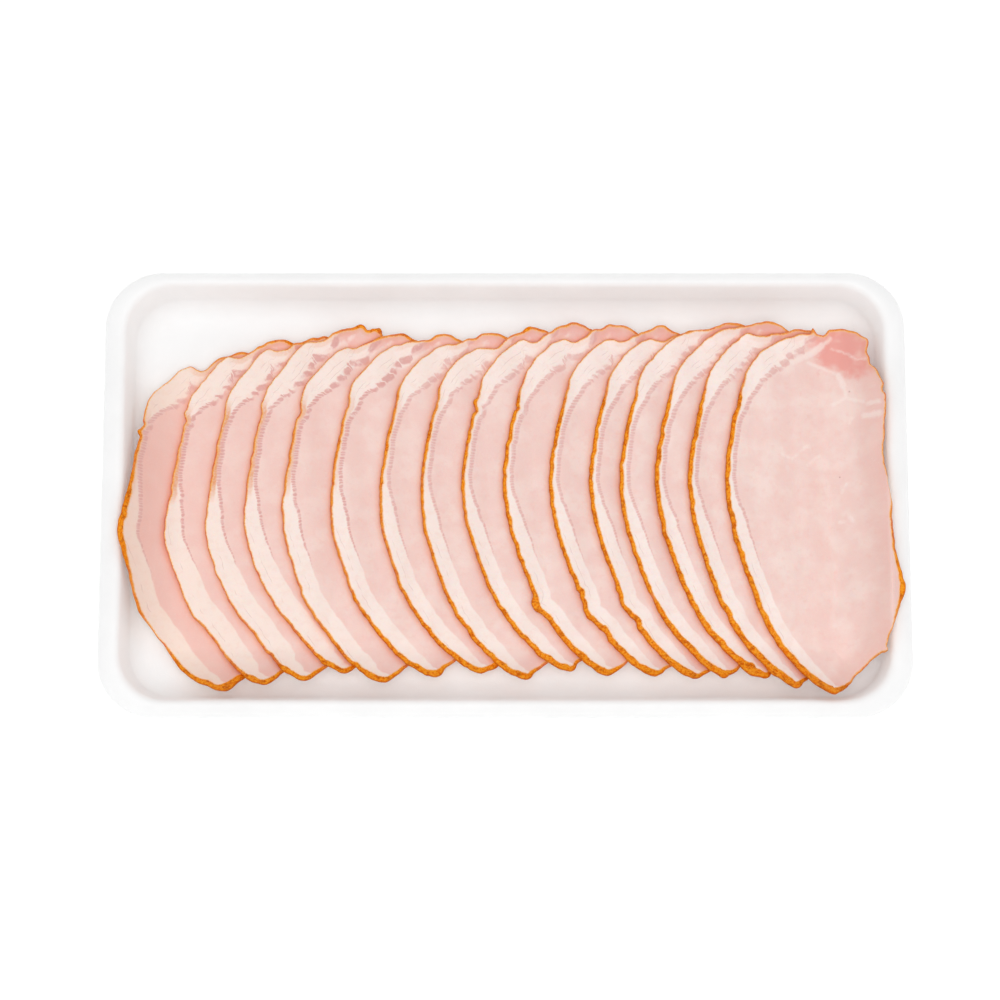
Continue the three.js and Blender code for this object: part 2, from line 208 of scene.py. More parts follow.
# Veins of the lean: half their width and the points that they run through.
VEINS = [
    (1.0, [(23.8, 46.1), (30.5, 49.6), (34.2, 52.2)]),
    (0.45, [(34.2, 52.2), (37, 54.8)]),
    (0.14, [(37.2, 51.1), (41.6, 49.6), (45.4, 46.5), (48, 46.1)]),
    (0.45, [(29.4, 46.1), (34.2, 44.2), (36.8, 43.1), (39.4, 41.9)]),
    (0.8, [(39.4, 41.9), (40.4, 39.6), (40.9, 37.6)]),
    (0.3, [(40.9, 37.6), (41.5, 35.9), (41.8, 33.6), (44.6, 32.4), (46.9, 31.3)]),
    (0.22, [(41.8, 33.6), (38.4, 32)]),
    (0.5, [(38, 31.8), (37.5, 31.4)]),
    (0.18, [(19.3, 16.1), (20, 13.5), (22.9, 12.5), (25.7, 15), (29, 16.9)]),
    (0.5, [(27.5, 16.4), (28.6, 16.7)]),
    (0.16, [(28.3, 10.4), (30, 12.2), (32.4, 13.8)]),
    (0.3, [(42.8, 24.9), (43.4, 26.5)]),
    (0.16, [(41.3, 3.9), (39.8, 1)]),
    (0.7, [(48.5, 30.2), (51.5, 30)]),
    (0.9, [(47.5, 26.4), (51.5, 26)]),
    (0.3, [(38.5, -8.9), (40, -9.2)]),
    (0.25, [(42.2, -7.8), (43, -9)]),
]
FAR_OUTSIDE = 9.0

OUTLINE_STEP = 0.6
SUPPORT_STEP = 2.5
GRID_STEP = 1.1
TOP_SLICE_GRID_STEP = 0.7
BODY = 1.7
BOX_MARGIN = 0.02
# The cut edge, from its top to its underside: how far in, and the height from 1 to -1.
EDGE_INSET = 0.75
EDGE = [(0.4, 0.96), (0.17, 0.76), (0.04, 0.4), (0, 0), (0, -0.5), (0.1, -0.88)]
TOUCH_WIDTH = 1.6
# The material's patterns are laid out in centimetres, and shifted from slice to slice.
PATTERN_UNIT = 10
PATTERN_SHIFT = 3.7
# How much of the darker muscle's colour shows.
REDNESS_ON_TOP = 1.0
REDNESS_BELOW = 0.45


# ---------- small helpers ----------

def smoothstep(value, low, high):
    t = np.clip((value - low) / (high - low), 0, 1)
    return t * t * (3 - 2 * t)


def lerp(a, b, t):
    return a + (b - a) * t


def waves(x, y, seed, wavelength, count=7):
    """A smooth random field of about unit size, as a sum of plane waves."""
    rng = np.random.default_rng(seed)
    total = np.zeros_like(x, dtype=float)
    for _ in range(count):
        angle = rng.uniform(0, 2 * math.pi)
        k = 2 * math.pi / (wavelength * rng.uniform(0.7, 1.5))
        phase = rng.uniform(0, 2 * math.pi)
        total += np.sin(k * (x * math.cos(angle) + y * math.sin(angle)) + phase)
    return total / math.sqrt(count)


def new_mesh(name, vertices_mm, faces, material):
    mesh = bpy.data.meshes.new(name)
    mesh.from_pydata((np.asarray(vertices_mm) * MM).tolist(), [], faces)
    mesh.polygons.foreach_set("use_smooth", [True] * len(mesh.polygons))
    mesh.materials.append(material)
    mesh.update()
    piece = bpy.data.objects.new(name, mesh)
    bpy.context.scene.collection.objects.link(piece)
    return piece


# ---------- outlines in plan ----------

def landmark_curve(points, steps=24):
    """A closed centripetal Catmull-Rom curve, and the landmark number along it."""
    curve, landmark = [], []
    count = len(points)
    for i in range(count):
        p0, p1, p2, p3 = (points[(i + k) % count] for k in (-1, 0, 1, 2))
        d0, d1, d2 = (math.dist(a, b) ** 0.5 for a, b in ((p0, p1), (p1, p2), (p2, p3)))
        m1 = ((p1 - p0) / d0 - (p2 - p0) / (d0 + d1) + (p2 - p1) / d1) * d1
        m2 = ((p2 - p1) / d1 - (p3 - p1) / (d1 + d2) + (p3 - p2) / d2) * d1
        for t in np.arange(steps) / steps:
            curve.append(p1 + m1 * t + (3 * (p2 - p1) - 2 * m1 - m2) * t ** 2
                         + (2 * (p1 - p2) + m1 + m2) * t ** 3)
            landmark.append(i + t)
    return np.array(curve), np.array(landmark)


def slice_outline(look, step):
    """A slice's outline, clockwise from its tip, and the place (0 to 1) of each point."""
    fat, notch, bulge = look["top"]
    rind_side, lean_side = (lerp(np.array(first, float), np.array(last, float), look["cut"])
                            for first, last in (RIND_SIDE, LEAN_SIDE))
    top = [(FAT_TOP_X, fat), (NOTCH_X, notch)] + [(x, bulge + below) for x, below in BULGE]
    corners = np.vstack([rind_side, top, lean_side])
    corners[-len(NARROWING):, 0] += look["narrower"] * NARROWING
    corners[:, 0] += look["left"]
    front = corners[:, 1] < 0
    corners[front, 1] *= look["tip"] / TIP
    curve, landmark = landmark_curve(corners)
    place = (landmark - TIP_LANDMARK) / LANDMARKS % 1
    order = np.argsort(place)
    curve, place = curve[order], place[order]
    closed = np.vstack([curve, curve[:1]])
    along = np.concatenate([[0], np.cumsum(np.hypot(*np.diff(closed, axis=0).T))])
    stations = np.linspace(0, along[-1], int(along[-1] / step), endpoint=False)
    loop = np.stack([np.interp(stations, along, closed[:, k]) for k in (0, 1)], axis=1)
    return loop, np.interp(stations, along, np.append(place, 1.0))


def inward_normals(loop):
    tangent = np.roll(loop, -2, axis=0) - np.roll(loop, 2, axis=0)
    tangent /= np.hypot(*tangent.T)[:, None]
    return np.stack([tangent[:, 1], -tangent[:, 0]], axis=1)


def nearest_on(points, path, closed=True):
    """Distance from points to a path, where on it (as a fractional index) is nearest, and
    whether the points are on its right, which is the inside of a clockwise loop."""
    count = len(path)
    nearest = np.empty(len(points), int)
    squares = np.sum(path ** 2, axis=1)
    for first in range(0, len(points), 4096):
        part = points[first:first + 4096]
        nearest[first:first + 4096] = np.argmin(squares - 2 * part @ path.T, axis=1)
    best = np.full(len(points), np.inf)
    where = np.zeros(len(points))
    for step in (-1, 0):
        start = nearest + step
        start = start % count if closed else np.clip(start, 0, count - 2)
        a = path[start]
        edge = path[(start + 1) % count] - a
        t = np.sum((points - a) * edge, axis=1) / np.sum(edge ** 2, axis=1)
        t = np.clip(t, 0, 1)
        gap = np.hypot(*(points - a - t[:, None] * edge).T)
        closer = gap < best
        best = np.where(closer, gap, best)
        where = np.where(closer, start + t, where)
    tangent = np.roll(path, -1, axis=0) - np.roll(path, 1, axis=0)
    away = points - path[nearest]
    cross = tangent[nearest, 0] * away[:, 1] - tangent[nearest, 1] * away[:, 0]
    return best, where, cross < 0


# ---------- how the slices lie ----------

def inside_rim(x, y):
    radius = LIP_RADIUS - CORNER_TIGHTENING * END_RIM
    qx = np.abs(x) - (TRAY_LENGTH / 2 - END_RIM - radius)
    qy = np.abs(y) - (TRAY_WIDTH / 2 - SIDE_RIM - radius)
    beyond = np.hypot(np.maximum(qx, 0), np.maximum(qy, 0))
    return radius - beyond - np.minimum(np.maximum(qx, qy), 0)


def rest_height(x, y):
    floor = FOAM + GAP
    climbed = np.maximum(1 - inside_rim(x, y) / CLIMB, 0)
    wall = floor + (TRAY_HEIGHT - floor) * climbed ** 2
    mix = np.clip(0.5 + (CREST - wall) / (2 * CREST_BLEND), 0, 1)
    return lerp(CREST, wall, mix) - CREST_BLEND * mix * (1 - mix)


def upright_stretch(x, y):
    step = 0.5
    slope_x = (rest_height(x + step, y) - rest_height(x - step, y)) / (2 * step)
    slope_y = (rest_height(x, y + step) - rest_height(x, y - step)) / (2 * step)
    return np.sqrt(1 + slope_x ** 2 + slope_y ** 2)


def underside_height(points, below):
    """Height of the underside of a slice that lies on the slices with these outlines."""
    x, y = points.T
    layers = np.zeros(len(points))
    for outline in below:
        gap, _, inside = nearest_on(points, outline)
        gap[inside] = 0
        layers += 1 - smoothstep(gap - SUPPORT_REACH, 0, SUPPORT_FADE)
    return rest_height(x, y) + layers * (THICKNESS + GAP) * upright_stretch(x, y)


# ---------- a slice ----------

def table(place, points):
    return np.interp(place, *zip(*points))


def ragged(loop, place, nicks, seed):
    """Gives the cut edge its small bumps: fine along the rind, coarser along the top."""
    x, y = loop.T
    fine = 0.10 * waves(x, y, seed, 3.5) + 0.12 * waves(x, y, seed + 1, 8.0)
    coarse = 0.3 * waves(x, y, seed + 2, 7.0)
    top = smoothstep(place, 0.4, 0.48) * (1 - 0.6 * smoothstep(place, 0.6, 0.7))
    outward = fine + coarse * top - 0.15
    extra = np.zeros(len(loop))
    for landmark, stands_out, length, thicker in nicks:
        centre = (landmark - TIP_LANDMARK) / LANDMARKS % 1
        middle = int(np.argmin(np.abs(place - centre)))
        steps = np.abs(np.arange(len(loop)) - middle)
        away = np.minimum(steps, len(loop) - steps) * OUTLINE_STEP / length
        bump = np.exp(-0.5 * away ** 4 - 0.5 * away ** 2)
        outward += stands_out * bump
        extra += thicker * bump
    return loop - inward_normals(loop) * outward[:, None], extra


def slice_plan(loop, seed, step):
    """Triangles of the slice's flat part in plan. The first points are the loop's own."""
    rng = np.random.default_rng(seed)
    low, high = loop.min(axis=0), loop.max(axis=0)
    grid = []
    for row, y in enumerate(np.arange(low[1], high[1], step * 0.866)):
        xs = np.arange(low[0], high[0], step) + (step / 2) * (row % 2)
        grid.append(np.stack([xs, np.full(len(xs), y)], axis=1))
    grid = np.vstack(grid)
    grid += rng.uniform(-0.12, 0.12, grid.shape) * step
    gap, _, inside = nearest_on(grid, loop)
    grid = grid[inside & (gap > 0.7 * step)]
    points = np.vstack([loop, grid])
    edges = [(i, (i + 1) % len(loop)) for i in range(len(loop))]
    made = geometry.delaunay_2d_cdt([Vector(p) for p in points], edges, [], 1, 1e-5)
    assert len(made[0]) == len(points), "the slice's outline crosses itself"
    return points, np.array(made[2])


def dense_path(corners, step=0.5):
    """A path through the corners, with points at most a step apart."""
    corners = np.array(corners, float)
    along = np.concatenate([[0], np.cumsum(np.hypot(*np.diff(corners, axis=0).T))])
    stations = np.linspace(0, along[-1], int(along[-1] / step) + 2)
    return np.stack([np.interp(stations, along, corners[:, k]) for k in (0, 1)], axis=1)


def vein_depth(points):
    """How far each point is inside the nearest vein. It is negative outside them all."""
    depth = np.full(len(points), -FAR_OUTSIDE)
    for half_width, path in VEINS:
        gap, _, _ = nearest_on(points, dense_path(path), closed=False)
        depth = np.maximum(depth, half_width - gap)
    return depth


def fat_edge_table():
    """How wide the fat is at each place along the rind, measured on the last cut."""
    loop, place = slice_outline(SLICES[-1], OUTLINE_STEP)
    rind_end = int(np.argmin(np.abs(place - 0.5)))
    line = np.array(STREAK_LINE, float) + (SLICES[-1]["left"], 0)
    width, where, _ = nearest_on(line, loop[:rind_end], closed=False)
    along = np.interp(where, np.arange(rind_end), place[:rind_end])
    return FAT_BELOW + sorted(zip(along, width)) + FAT_END


FAT_EDGE = fat_edge_table()


def make_slice(index, material):
    look = SLICES[index]
    name = f"slice_{index + 1:02d}"
    seed = 100 * (index + 1)
    top_slice = index == len(SLICES) - 1
    loop, loop_place = slice_outline(look, OUTLINE_STEP)
    loop, extra = ragged(loop, loop_place, NICKS.get(index + 1, []), seed)
    normals = inward_normals(loop)
    plan, triangles = slice_plan(loop + normals * EDGE_INSET, seed,
                                 TOP_SLICE_GRID_STEP if top_slice else GRID_STEP)
    count = len(loop)

    # Plan points of the top, of the rounded edge's rings, and of the underside.
    rings = [loop + normals * inset for inset, _ in EDGE]
    points = np.vstack([plan, *rings, plan])
    level = np.concatenate([
        np.ones(len(plan)),
        *[np.full(count, height) for _, height in EDGE],
        -np.ones(len(plan)),
    ])

    # Distances on the flat of the slice, which all its tissues are laid out by.
    gap, where, _ = nearest_on(points, loop)
    place = np.interp(where, np.arange(count + 1), np.append(loop_place, 1.0))
    rind_end = int(np.argmin(np.abs(loop_place - 0.5)))
    rind_gap, where_rind, _ = nearest_on(points, loop[:rind_end], closed=False)
    rind_place = np.interp(where_rind, np.arange(count), loop_place)
    lean_gap, _, _ = nearest_on(points, loop[rind_end:], closed=False)

    rind_width = lerp(table(place, RIND_THIN), table(place, RIND_THICK), look["rind"])
    rind_width = rind_width + np.interp(where, np.arange(count + 1), np.append(extra, extra[0]))
    rind_width = rind_width * (1 + 0.1 * waves(*points.T, seed + 9, 5.0))
    spacing = table(loop_place, RUNG_SPACING)
    rungs = np.cumsum(OUTLINE_STEP / spacing)
    local = np.stack([points[:, 0] - look["left"], points[:, 1]], axis=1)
    local[:, 1] = np.where(local[:, 1] > 0, local[:, 1] * LAST_BULGE / look["top"][2],
                           local[:, 1] * TIP / look["tip"])
    muscle, _, inside = nearest_on(local, dense_path(MUSCLE + MUSCLE[:1])[:-1])
    muscle[~inside] *= -1

    x, y = points.T
    stretch = upright_stretch(x, y)
    below = [slice_outline(SLICES[k], SUPPORT_STEP)[0]
             for k in range(max(0, index - LAYERS_FELT), index)]
    under = underside_height(points, below)
    swell = 0.07 * waves(x, y, seed + 5, 14.0) + 0.03 * waves(x, y, seed + 6, 5.0)
    ridge = 1 - smoothstep(rind_gap, 0.5 + rind_width, 1.3 + rind_width)
    ridge *= 0.2 * (1 - smoothstep(rind_place, 0.33, 0.37))
    half = BODY / 2
    z = under + stretch * half * (1 + level) + (swell + ridge) * (1 + level) / 2
    z = np.minimum(z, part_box(name)[1][2] / MM - BOX_MARGIN)
    vertices = np.stack([x, y, z], axis=1)

    faces = [tuple(t) for t in triangles.tolist()]
    bottom = len(plan) + count * len(EDGE)
    faces += [(a + bottom, c + bottom, b + bottom) for a, b, c in triangles.tolist()]
    starts = [0] + [len(plan) + count * k for k in range(len(EDGE))] + [bottom]
    for upper, lower in zip(starts, starts[1:]):
        for i in range(count):
            j = (i + 1) % count
            faces.append((upper + i, upper + j, lower + j, lower + i))
    piece = new_mesh(name + "_meat", vertices, faces, material)

    # How near each point is to where the next slice's edge lies; the shader paints a warm shadow
    # there.
    same = np.ones(len(x))
    touch = 0 * same
    if not top_slice:
        next_gap, _, _ = nearest_on(points, slice_outline(SLICES[index + 1], OUTLINE_STEP)[0])
        touch = 1 - smoothstep(next_gap, 0.2, TOUCH_WIDTH)
    store(piece, "cut", *(local / PATTERN_UNIT).T, PATTERN_SHIFT * index * same)
    store(piece, "rim", rind_width - gap, gap, 0 * same)
    # The neck of the fat lies higher and is thinner in the first cuts.
    neck = (1 - look["cut"]) * table(rind_place, NECK)
    fat_place = rind_place - NECK_RISE * neck
    fat_width = table(fat_place, FAT_EDGE) + look["fat"] * table(rind_place, FAT_EXTRA)
    fat_width -= NECK_THINNER * neck * smoothstep(rind_place, 0.22, 0.26)
    store(piece, "fat", fat_width - rind_gap,
          np.interp(where_rind, np.arange(count), rungs), table(rind_place, STREAK_HALF))
    store(piece, "hair", *(rind_gap - table(rind_place, line) for line in HAIRLINES))
    store(piece, "lean", muscle, vein_depth(local), lean_gap)
    smoke = np.maximum(look["smoke"] * table(rind_place, SMOKE),
                       (1 - 0.6 * look["cut"]) * table(place, TOP_SMOKE))
    store(piece, "look", look["pink"] * same, smoke, rind_place)
    redness = REDNESS_ON_TOP if top_slice else REDNESS_BELOW
    store(piece, "touch", touch, redness * same, look["spots"] * same)
    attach(piece, name)
    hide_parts(name)
    return piece


def store(piece, name, *columns):
    attribute = piece.data.attributes.new(name, "FLOAT_VECTOR", "POINT")
    values = np.stack(columns, axis=1).astype(np.float32)
    attribute.data.foreach_set("vector", values.ravel())


# ---------- the tray ----------

CORNER_STEPS = 16
LONG_SIDE_STEPS = 36
SHORT_SIDE_STEPS = 18
FLOOR_STEPS = 12
# Half the length of the middle line that the floor's rings shrink to.
SPINE_REACH = 55
NEAREST_SECTION_POINTS = 0.02


def arc(centre_x, centre_y, radius, start, end, steps):
    angles = np.radians(np.linspace(start, end, steps + 1))
    return [(centre_x + radius * math.cos(a), centre_y + radius * math.sin(a)) for a in angles]


def bend(start, control, end, steps):
    p0, p1, p2 = (np.array(p, float) for p in (start, control, end))
    ts = np.linspace(0, 1, steps + 1)
    return [tuple((1 - t) ** 2 * p0 + 2 * t * (1 - t) * p1 + t * t * p2) for t in ts]


def wall_section():
    """From the edge of the underside, up the outside, over the lip and down to the floor."""
    outer = COVE_RADIUS + FOAM
    top = TRAY_HEIGHT
    wall_top = (END_RIM + 0.6, 18.4)
    section = arc(COVE_INSET, COVE_HEIGHT, outer, -90, -180, 14)
    section += bend(section[-1], (5.3, 15.2), (3.6, 15.4), 6)
    section += bend((3.6, 15.4), (2.4, 15.4), (1.4, 14.2), 5)
    section += bend((1.4, 14.2), (0, 13.6), (0, 15.4), 6)
    section += bend((0, 15.4), (0.3, 18), (2.6, 19.2), 8)
    section += bend((2.6, 19.2), (4.2, top), (5.2, top), 5)
    section += bend((5.2, top), (END_RIM, top), wall_top, 7)
    section += bend(wall_top, (8.6, 14.7), (COVE_INSET - COVE_RADIUS, COVE_HEIGHT), 6)
    section += arc(COVE_INSET, COVE_HEIGHT, COVE_RADIUS, 180, 270, 12)
    kept = [section[0]]
    for point in section[1:]:
        if math.dist(point, kept[-1]) > NEAREST_SECTION_POINTS:
            kept.append(point)
    return kept


def tray_ring(inset, height):
    """One round of the tray in plan, anticlockwise, with points along the straights too."""
    radius = LIP_RADIUS - CORNER_TIGHTENING * inset
    rim = min(inset, END_RIM)
    side_inset = rim * (SIDE_RIM / END_RIM) + (inset - rim)
    centre_x = TRAY_LENGTH / 2 - inset - radius
    centre_y = TRAY_WIDTH / 2 - side_inset - radius
    corners = [(1, 1), (-1, 1), (-1, -1), (1, -1)]
    ring = []
    for quarter, (sx, sy) in enumerate(corners):
        ring += arc(sx * centre_x, sy * centre_y, radius, 90 * quarter, 90 * quarter + 90,
                    CORNER_STEPS)
        next_x, next_y = corners[(quarter + 1) % 4]
        turn = math.radians(90 * quarter + 90)
        reach = np.array([math.cos(turn), math.sin(turn)]) * radius
        start = np.array([sx * centre_x, sy * centre_y]) + reach
        end = np.array([next_x * centre_x, next_y * centre_y]) + reach
        steps = LONG_SIDE_STEPS if quarter % 2 == 0 else SHORT_SIDE_STEPS
        ring += [tuple(lerp(start, end, k / steps)) for k in range(1, steps)]
    return [(x, y, height) for x, y in ring]


def floor_rings(first, height, steps, upward):
    """Rings that shrink from the edge of a flat face towards its middle line."""
    rings = []
    edge = np.array(first)[:, :2]
    spine = np.stack([np.clip(edge[:, 0], -SPINE_REACH, SPINE_REACH), np.zeros(len(edge))], axis=1)
    for k in range(1, steps):
        share = k / steps
        plan = lerp(edge, spine, share)
        rings.append([(x, y, height) for x, y in plan])
    return rings if upward else rings[::-1]


def make_tray(material):
    wall = [tray_ring(*point) for point in wall_section()]
    under = floor_rings(wall[0], 0.0, FLOOR_STEPS, upward=False)
    floor = floor_rings(wall[-1], FOAM, FLOOR_STEPS, upward=True)
    rings = under + wall + floor
    count = len(rings[0])
    vertices = np.array([point for ring in rings for point in ring])
    faces = []
    for r in range(len(rings) - 1):
        for i in range(count):
            j = (i + 1) % count
            a, b = r * count, (r + 1) * count
            faces.append((a + i, a + j, b + j, b + i))
    last = (len(rings) - 1) * count
    faces.append(tuple(last + i for i in range(count)))
    faces.append(tuple(reversed(range(count))))
    piece = new_mesh("tray_foam", vertices, faces, material)
    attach(piece, "tray")
    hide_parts("tray")
    return piece


# ---------- materials ----------

class Graph:
    """Short calls for building a material's nodes."""

    def __init__(self, name):
        self.material = bpy.data.materials.new(name)
        self.material.use_nodes = True
        self.tree = self.material.node_tree
        self.shader = self.tree.nodes["Principled BSDF"]

    def node(self, kind, **settings):
        made = self.tree.nodes.new(kind)
        for key, value in settings.items():
            setattr(made, key, value)
        return made

    def feed(self, socket, value):
        if isinstance(value, bpy.types.NodeSocket):
            self.tree.links.new(value, socket)
        elif value is not None:
            socket.default_value = value

    def math(self, operation, *values):
        made = self.node("ShaderNodeMath", operation=operation)
        for socket, value in zip(made.inputs, values):
            self.feed(socket, value)
        return made.outputs[0]

    def between(self, value, low, high, start=0.0, end=1.0):
        """Smoothly from start to end as value goes from low to high."""
        made = self.node("ShaderNodeMapRange", interpolation_type="SMOOTHSTEP")
        for socket, given in zip(made.inputs, (value, low, high, start, end)):
            self.feed(socket, given)
        return made.outputs[0]

    def mix(self, factor, a, b):
        made = self.node("ShaderNodeMix", data_type="RGBA")
        self.feed(made.inputs[0], factor)
        self.feed(made.inputs[6], a)
        self.feed(made.inputs[7], b)
        return made.outputs[2]

    def noise(self, vector, scale, detail=2.0, roughness=0.5, distortion=0.0):
        made = self.node("ShaderNodeTexNoise")
        self.feed(made.inputs["Vector"], vector)
        made.inputs["Scale"].default_value = scale
        made.inputs["Detail"].default_value = detail
        made.inputs["Roughness"].default_value = roughness
        made.inputs["Distortion"].default_value = distortion
        return made.outputs["Fac"]

    def attribute(self, name):
        return self.node("ShaderNodeAttribute", attribute_name=name).outputs["Vector"]

    def split(self, vector):
        made = self.node("ShaderNodeSeparateXYZ")
        self.feed(made.inputs[0], vector)
        return made.outputs[:]

    def distance(self, vector, place):
        made = self.node("ShaderNodeVectorMath", operation="DISTANCE")
        self.feed(made.inputs[0], vector)
        self.feed(made.inputs[1], place)
        return made.outputs["Value"]

    def bump(self, height, distance, strength=1.0, normal=None):
        made = self.node("ShaderNodeBump")
        made.inputs["Strength"].default_value = strength
        made.inputs["Distance"].default_value = distance
        self.feed(made.inputs["Height"], height)
        self.feed(made.inputs["Normal"], normal)
        return made.outputs[0]

    def set(self, **values):
        for key, value in values.items():
            self.feed(self.shader.inputs[key.replace("_", " ")], value)


def srgb(red, green, blue):
    """A colour given as 0 to 255 display values, as the linear colour that shaders take."""
    def linear(value):
        share = value / 255
        return share / 12.92 if share <= 0.04045 else ((share + 0.055) / 1.055) ** 2.4
    return (linear(red), linear(green), linear(blue), 1)


LEAN = srgb(246, 212, 204)
LEAN_PALE = srgb(249, 222, 214)
LEAN_PINK = srgb(243, 196, 186)
LEAN_DEEP = srgb(246, 193, 180)
FAT = srgb(255, 236, 229)
FAT_SHADE = srgb(252, 226, 217)
FAT_GOLDEN = srgb(247, 212, 182)
HAIR = srgb(206, 172, 164)
STREAK = srgb(225, 165, 158)
STREAK_PALE = srgb(240, 204, 197)
MUSCLE_DEEP = srgb(241, 170, 160)
MUSCLE_PALE = srgb(245, 194, 184)
SMOKED = srgb(232, 158, 106)
# Painted warm shadow beside the rind of the next slice.
PAINTED_EDGE_SHADOW = srgb(250, 168, 120)
DOT = srgb(190, 140, 130)
RIND = srgb(238, 118, 2)
RIND_BRIGHT = srgb(253, 164, 38)
RIND_DARK = srgb(184, 74, 2)
RIND_GOLD = srgb(250, 190, 100)
RIND_THREAD = srgb(242, 160, 84)
RIND_SKIN = srgb(232, 128, 88)
RIND_FLECK = srgb(206, 96, 30)
FOAM_SHADE = srgb(236, 236, 236)
FOAM_WHITE = srgb(240, 240, 240)
WHITE = (1, 1, 1, 1)

# Small dark dots of the last slice: place in millimetres, radius and strength.
DOTS = [((42.8, 35.6), 0.45, 0.5), ((39.1, 6.3), 0.35, 0.7), ((29.6, 27.2), 1.6, 0.12)]


def meat_material():
    g = Graph("meat")
    cut = g.attribute("cut")
    rind_depth, gap, _ = g.split(g.attribute("rim"))
    fat_depth, rungs, streak_half = g.split(g.attribute("fat"))
    hairs = g.split(g.attribute("hair"))
    muscle_depth, vein, lean_gap = g.split(g.attribute("lean"))
    pink, smoke, rind_place = g.split(g.attribute("look"))
    touch, redness, spotty = g.split(g.attribute("touch"))

    def shaken(value, noise, amount):
        return g.math("MULTIPLY_ADD", g.math("SUBTRACT", noise, 0.5), amount, value)

    broad = g.noise(cut, 1.1, 3.0, 0.55)
    medium = g.noise(cut, 4.5, 4.0, 0.6)
    small = g.noise(cut, 13.0, 3.0, 0.6)
    fine = g.noise(cut, 38.0, 2.0, 0.6)

    # Lean meat: slow changes of tone, short pale fibres and pale veins.
    lean = g.mix(g.between(broad, 0.4, 0.66), LEAN, LEAN_PALE)
    margin = g.between(shaken(lean_gap, medium, 9.0), 9.0, 0.0)
    lean = g.mix(g.math("MULTIPLY", margin, 0.6), lean, LEAN_PINK)
    lean = g.mix(g.math("MULTIPLY", pink, 0.6), lean, LEAN_DEEP)
    lean = g.mix(g.between(medium, 0.5, 0.72, 0.0, 0.3), lean, LEAN_PINK)
    lean = g.mix(g.between(small, 0.55, 0.75, 0.0, 0.35), lean, LEAN_PALE)

    # The darker muscle in the far top corner.
    muscle = g.between(shaken(muscle_depth, medium, 7.0), -3.2, 2.2)
    muscle_tone = g.mix(g.between(broad, 0.42, 0.6), MUSCLE_DEEP, MUSCLE_PALE)
    lean = g.mix(g.math("MULTIPLY", muscle, redness), lean, muscle_tone)
    vein_mask = g.between(shaken(shaken(vein, medium, 1.8), small, 0.8), -0.75, 0.5)
    lean = g.mix(g.math("MULTIPLY", vein_mask, 0.65), lean, FAT)
    for (x, y), radius, strength in DOTS:
        middle = (x / PATTERN_UNIT, y / PATTERN_UNIT, PATTERN_SHIFT * (len(SLICES) - 1))
        size = radius / PATTERN_UNIT
        lean = g.mix(g.between(g.distance(cut, middle), size, size / 3, 0.0, strength), lean, DOT)

    # Fat, with hairlines that follow the rind.
    fat = g.mix(g.between(medium, 0.45, 0.7, 0.0, 0.6), FAT, FAT_SHADE)
    fat = g.mix(g.math("MULTIPLY", pink, 0.3), fat, FAT_GOLDEN)
    patch = g.between(g.noise(cut, 2.2, 1.0), 0.45, 0.62)
    for hair in hairs:
        line = g.between(g.math("ABSOLUTE", shaken(hair, medium, 1.1)), 0.15, 0.02)
        fat = g.mix(g.math("MULTIPLY", g.math("MULTIPLY", line, patch), 0.45), fat, HAIR)
    colour = g.mix(g.between(shaken(fat_depth, medium, 0.9), -0.3, 0.3), lean, fat)
    smoked = g.math("MULTIPLY", smoke, g.between(shaken(gap, medium, 1.5), 2.6, 1.7))
    smoked = g.math("MULTIPLY", smoked, g.between(small, 0.3, 0.6, 0.6, 0.95))
    colour = g.mix(smoked, colour, SMOKED)

    # The streak of thin meat along the fat: fine rungs, and larger spots towards the top.
    spots = g.between(rind_place, 0.34, 0.37)
    across = g.math("ABSOLUTE", shaken(fat_depth, small, 0.5))
    inside = g.math("SUBTRACT", streak_half, across)
    band = g.math("MULTIPLY", g.between(inside, -0.2, 0.3), g.between(spots, 0, 1, 0.65, 0.12))
    colour = g.mix(band, colour, STREAK_PALE)
    jitter = g.math("MULTIPLY", g.math("SUBTRACT", medium, 0.5),
                    g.between(spots, 0, 1, 1.1, 0.25))
    turn = g.math("MULTIPLY_ADD", fat_depth, 0.14, g.math("ADD", rungs, jitter))
    turn = g.math("SUBTRACT", g.math("FRACT", turn), 0.5)
    along = g.math("DIVIDE", turn, 0.4)
    share = g.math("DIVIDE", across, g.math("MAXIMUM", streak_half, 0.05))
    outwards = g.math("SQRT", g.math("ADD", g.math("POWER", along, 2.0),
                                     g.math("POWER", share, 2.0)))
    spot = g.between(shaken(outwards, small, 0.5), 1.25, 0.65)
    spot = g.math("MULTIPLY", spot, g.between(streak_half, 0.0, 0.4))
    spot = g.math("MULTIPLY", spot, g.between(medium, 0.28, 0.5, 0.35, 1.0))
    colour = g.mix(g.math("MULTIPLY", spot, spotty), colour, STREAK)

    # A painted shadow, warmed as by light off the rind, where the rind of the next slice lies.
    colour = g.mix(g.math("MULTIPLY", touch, 0.4), colour, PAINTED_EDGE_SHADOW)

